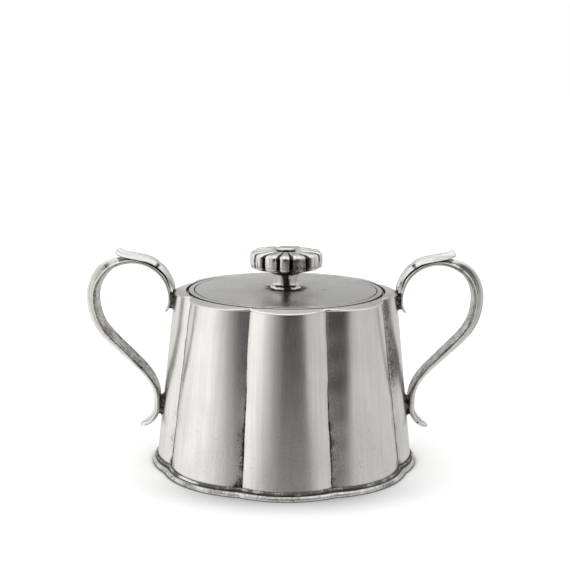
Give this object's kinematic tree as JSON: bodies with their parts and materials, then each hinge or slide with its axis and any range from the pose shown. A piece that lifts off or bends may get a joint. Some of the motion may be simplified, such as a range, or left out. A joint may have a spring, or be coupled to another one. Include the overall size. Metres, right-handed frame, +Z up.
{
  "type": "lidded sugar bowl",
  "caption": "Lobed pewter sugar bowl with a flared foot rim, two ribbed scroll handles with thumb leaves, and a flat lift-off lid with a flower knob.",
  "frame": {"origin": "centre of the foot's underside, on the surface that the bowl stands on", "axes": "+Z up through the knob, +X and -X along the two handles, -Y the side shown in the picture"},
  "size_m": [0.165, 0.1108, 0.0908],
  "materials": {
    "pewter_wall": "satin pewter with fine upright brush lines and dark patina in the creases",
    "pewter_rim": "satin pewter, edges worn bright",
    "pewter_lid": "satin turned pewter",
    "pewter_cast": "cast pewter, polished on the high parts, dark in the grooves",
    "pewter_inner": "plain matt pewter",
    "pewter_solder": "dark, rough soldered joint",
    "screw_metal": "plain machined steel"
  },
  "bodies": {
    "bowl": {"base_flange": "pewter_rim", "floor_plate": "pewter_inner", "wall_shell": "pewter_wall", "shoulder_plate": "pewter_rim", "lid_seat_ring": "pewter_inner", "handle_left_scroll": "pewter_cast", "handle_left_leaf": "pewter_cast", "handle_left_upper_pad": "pewter_solder", "handle_left_lower_pad": "pewter_solder", "handle_right_scroll": "pewter_cast", "handle_right_leaf": "pewter_cast", "handle_right_upper_pad": "pewter_solder", "handle_right_lower_pad": "pewter_solder"},
    "lid": {"lid_disc": "pewter_lid", "lid_locating_ring": "pewter_inner", "knob_stem": "pewter_cast", "knob_flower": "pewter_cast", "knob_button": "pewter_cast", "knob_washer": "screw_metal", "knob_screw": "screw_metal"}
  },
  "joints": [
    {"name": "lid_lift", "type": "slide", "parent": "bowl", "child": "lid", "axis": [0, 0, 1], "range_m": [0, 0.06]}
  ]
}
